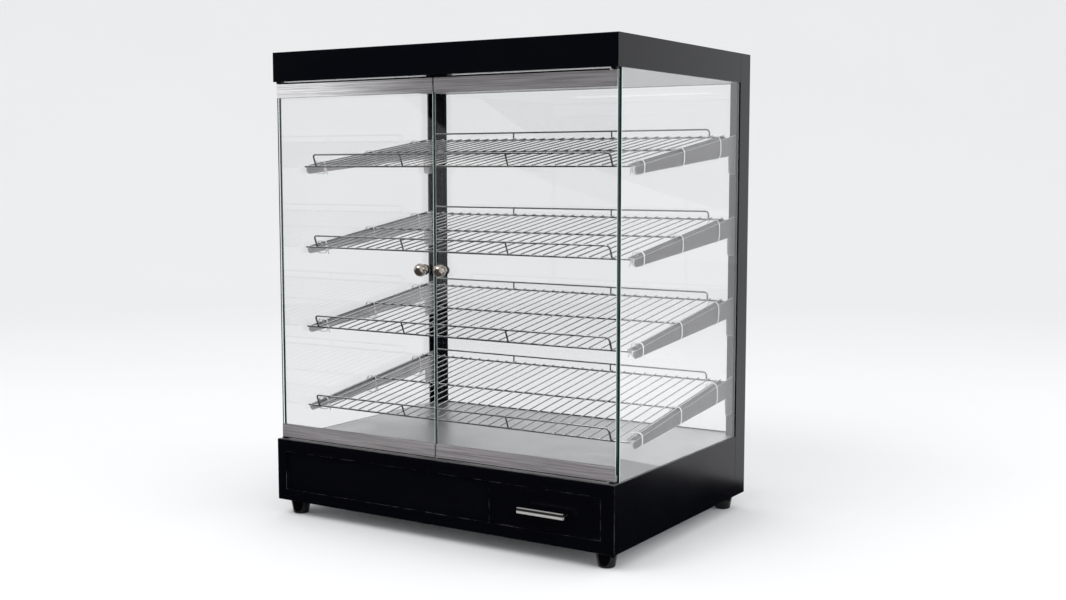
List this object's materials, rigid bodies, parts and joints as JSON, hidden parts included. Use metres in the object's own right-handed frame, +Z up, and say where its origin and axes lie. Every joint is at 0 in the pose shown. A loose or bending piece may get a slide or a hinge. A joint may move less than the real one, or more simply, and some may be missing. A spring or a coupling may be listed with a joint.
{
  "type": "hot food display case",
  "caption": "Glazed countertop hot food display case with sloping wire shelves on brackets, a pair of pivoting glass doors, a heated deck and a small drawer in the base.",
  "frame": {"origin": "on the surface that the feet stand on, under the middle of the overall width and depth, the drawer handle included", "axes": "+X to the right seen from the front, +Y to the back, +Z up"},
  "size_m": [0.66, 0.495, 0.787],
  "materials": {
    "black_paint": "smooth semi-gloss powder coat",
    "deck_stainless": "fine brushed stainless",
    "ceiling_white": "smooth white enamel",
    "rail_stainless": "brushed along the rail",
    "wire_chrome": "bright plated wire",
    "bracket_steel": "satin nickel plate",
    "clear_glass": "clear toughened float glass",
    "knob_nickel": "satin nickel",
    "pivot_black": "black nylon-coated",
    "zinc_steel": "zinc-coated sheet",
    "foot_plastic": "glossy moulded",
    "black_plastic": "satin moulded",
    "rocker_black": "glossy moulded",
    "white_plastic": "matt moulded",
    "amber_lens": "clear tinted lens",
    "lamp_lens": "opal diffuser",
    "lamp_tube": "phosphor-coated tube",
    "element_steel": "heat-darkened sheath",
    "copper": "bare copper",
    "tie_nylon": "natural nylon"
  },
  "bodies": {
    "cabinet": {"base_pan": "zinc_steel", "base_side_left": "black_paint", "base_side_right": "black_paint", "front_frame": "black_paint", "blank_panel": "black_paint", "rear_service_panel": "black_paint", "rear_post_left": "black_paint", "rear_post_right": "black_paint", "cap_shell": "black_paint", "deck": "deck_stainless", "ceiling_panel": "ceiling_white", "feet": "foot_plastic", "rear_sill": "black_paint", "foot_screws": "zinc_steel", "panel_screws": "zinc_steel", "lamp_lens": "lamp_lens", "lamp_tube": "lamp_tube", "lamp_holders": "white_plastic", "side_glass_left": "clear_glass", "side_glass_right": "clear_glass", "rear_glass": "clear_glass", "door_pivots": "pivot_black", "magnet_catch": "black_plastic", "drawer_runners": "zinc_steel", "heating_element": "element_steel", "element_clips": "zinc_steel", "heat_shield": "zinc_steel", "thermostat": "zinc_steel", "thermostat_bulb": "copper", "power_switch": "black_plastic", "pilot_lamp": "amber_lens", "cable_gland": "black_plastic", "terminal_block": "white_plastic", "shelf_ties": "tie_nylon", "wire_shelf_1": "wire_chrome", "shelf_guards_1": "wire_chrome", "shelf_brackets_1": "bracket_steel", "wire_shelf_2": "wire_chrome", "shelf_guards_2": "wire_chrome", "shelf_brackets_2": "bracket_steel", "wire_shelf_3": "wire_chrome", "shelf_guards_3": "wire_chrome", "shelf_brackets_3": "bracket_steel", "wire_shelf_4": "wire_chrome", "shelf_guards_4": "wire_chrome", "shelf_brackets_4": "bracket_steel"},
    "left_door": {"left_door_glass": "clear_glass", "left_door_bottom_rail": "rail_stainless", "left_door_top_rail": "rail_stainless", "left_door_knob": "knob_nickel"},
    "right_door": {"right_door_glass": "clear_glass", "right_door_bottom_rail": "rail_stainless", "right_door_top_rail": "rail_stainless", "right_door_knob": "knob_nickel"},
    "drawer": {"drawer_front": "black_paint", "drawer_tray": "zinc_steel", "drawer_handle": "knob_nickel", "drawer_slides": "zinc_steel"},
    "dial": {"thermostat_dial": "black_plastic"},
    "rocker": {"power_rocker": "rocker_black"}
  },
  "joints": [
    {"name": "left_door_hinge", "type": "hinge", "parent": "cabinet", "child": "left_door", "pos_m": [-0.321, -0.215, 0.43], "axis": [0, 0, -1], "range_deg": [0, 105]},
    {"name": "right_door_hinge", "type": "hinge", "parent": "cabinet", "child": "right_door", "pos_m": [0.321, -0.215, 0.43], "axis": [0, 0, 1], "range_deg": [0, 105]},
    {"name": "drawer_slide", "type": "slide", "parent": "cabinet", "child": "drawer", "axis": [0, -1, 0], "range_m": [0, 0.22]},
    {"name": "dial_turn", "type": "hinge", "parent": "cabinet", "child": "dial", "pos_m": [-0.215, 0.23, 0.078], "axis": [0, -1, 0], "range_deg": [0, 270]},
    {"name": "rocker_tilt", "type": "hinge", "parent": "cabinet", "child": "rocker", "pos_m": [-0.135, 0.2217, 0.078], "axis": [0, 0, -1], "range_deg": [0, 16]}
  ]
}
